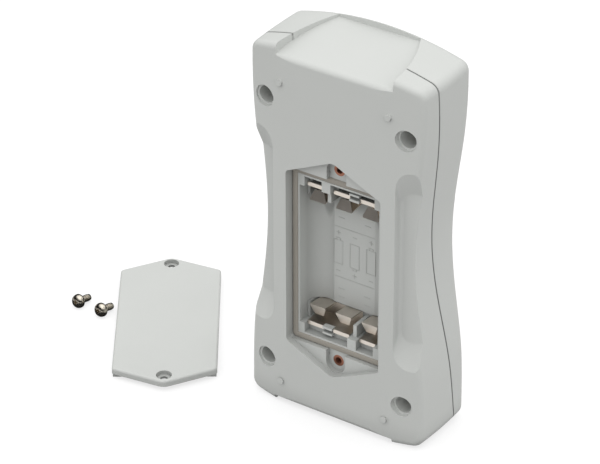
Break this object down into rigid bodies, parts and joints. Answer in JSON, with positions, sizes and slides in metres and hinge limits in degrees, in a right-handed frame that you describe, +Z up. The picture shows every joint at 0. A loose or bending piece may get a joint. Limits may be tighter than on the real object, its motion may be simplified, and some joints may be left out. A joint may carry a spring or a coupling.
{
  "type": "handheld electronics enclosure",
  "caption": "Waisted two-shell handheld enclosure with finger scoops, an open battery bay with spring contacts and gasket, and its loose battery cover and screws.",
  "frame": {"origin": "on the standing surface, midway between the two feet and between the front and back faces of the case", "axes": "+Z up the case, +Y out of its front face, -Y out of the battery bay, +X to the right seen from the back"},
  "size_m": [0.1608, 0.0778, 0.1469],
  "materials": {
    "case_plastic": "fine matte moulded, light grey",
    "gasket_rubber": "smooth taupe elastomer",
    "contact_spring_steel": "nickel-plated spring sheet",
    "brass_insert": "turned, copper-coloured",
    "screw_nickel": "nickel plated"
  },
  "bodies": {
    "root": {"back_shell": "case_plastic", "front_shell": "case_plastic", "battery_gasket": "gasket_rubber", "battery_cover": "case_plastic", "contact_top_double": "contact_spring_steel", "contact_top_single": "contact_spring_steel", "contact_bottom_double": "contact_spring_steel", "contact_bottom_single": "contact_spring_steel", "cover_insert_top": "brass_insert", "cover_insert_bottom": "brass_insert", "case_screw_1": "screw_nickel", "case_screw_2": "screw_nickel", "case_screw_3": "screw_nickel", "case_screw_4": "screw_nickel", "case_insert_1": "brass_insert", "case_insert_2": "brass_insert", "case_insert_3": "brass_insert", "case_insert_4": "brass_insert", "cover_screw_1": "screw_nickel", "cover_screw_2": "screw_nickel"}
  },
  "joints": []
}
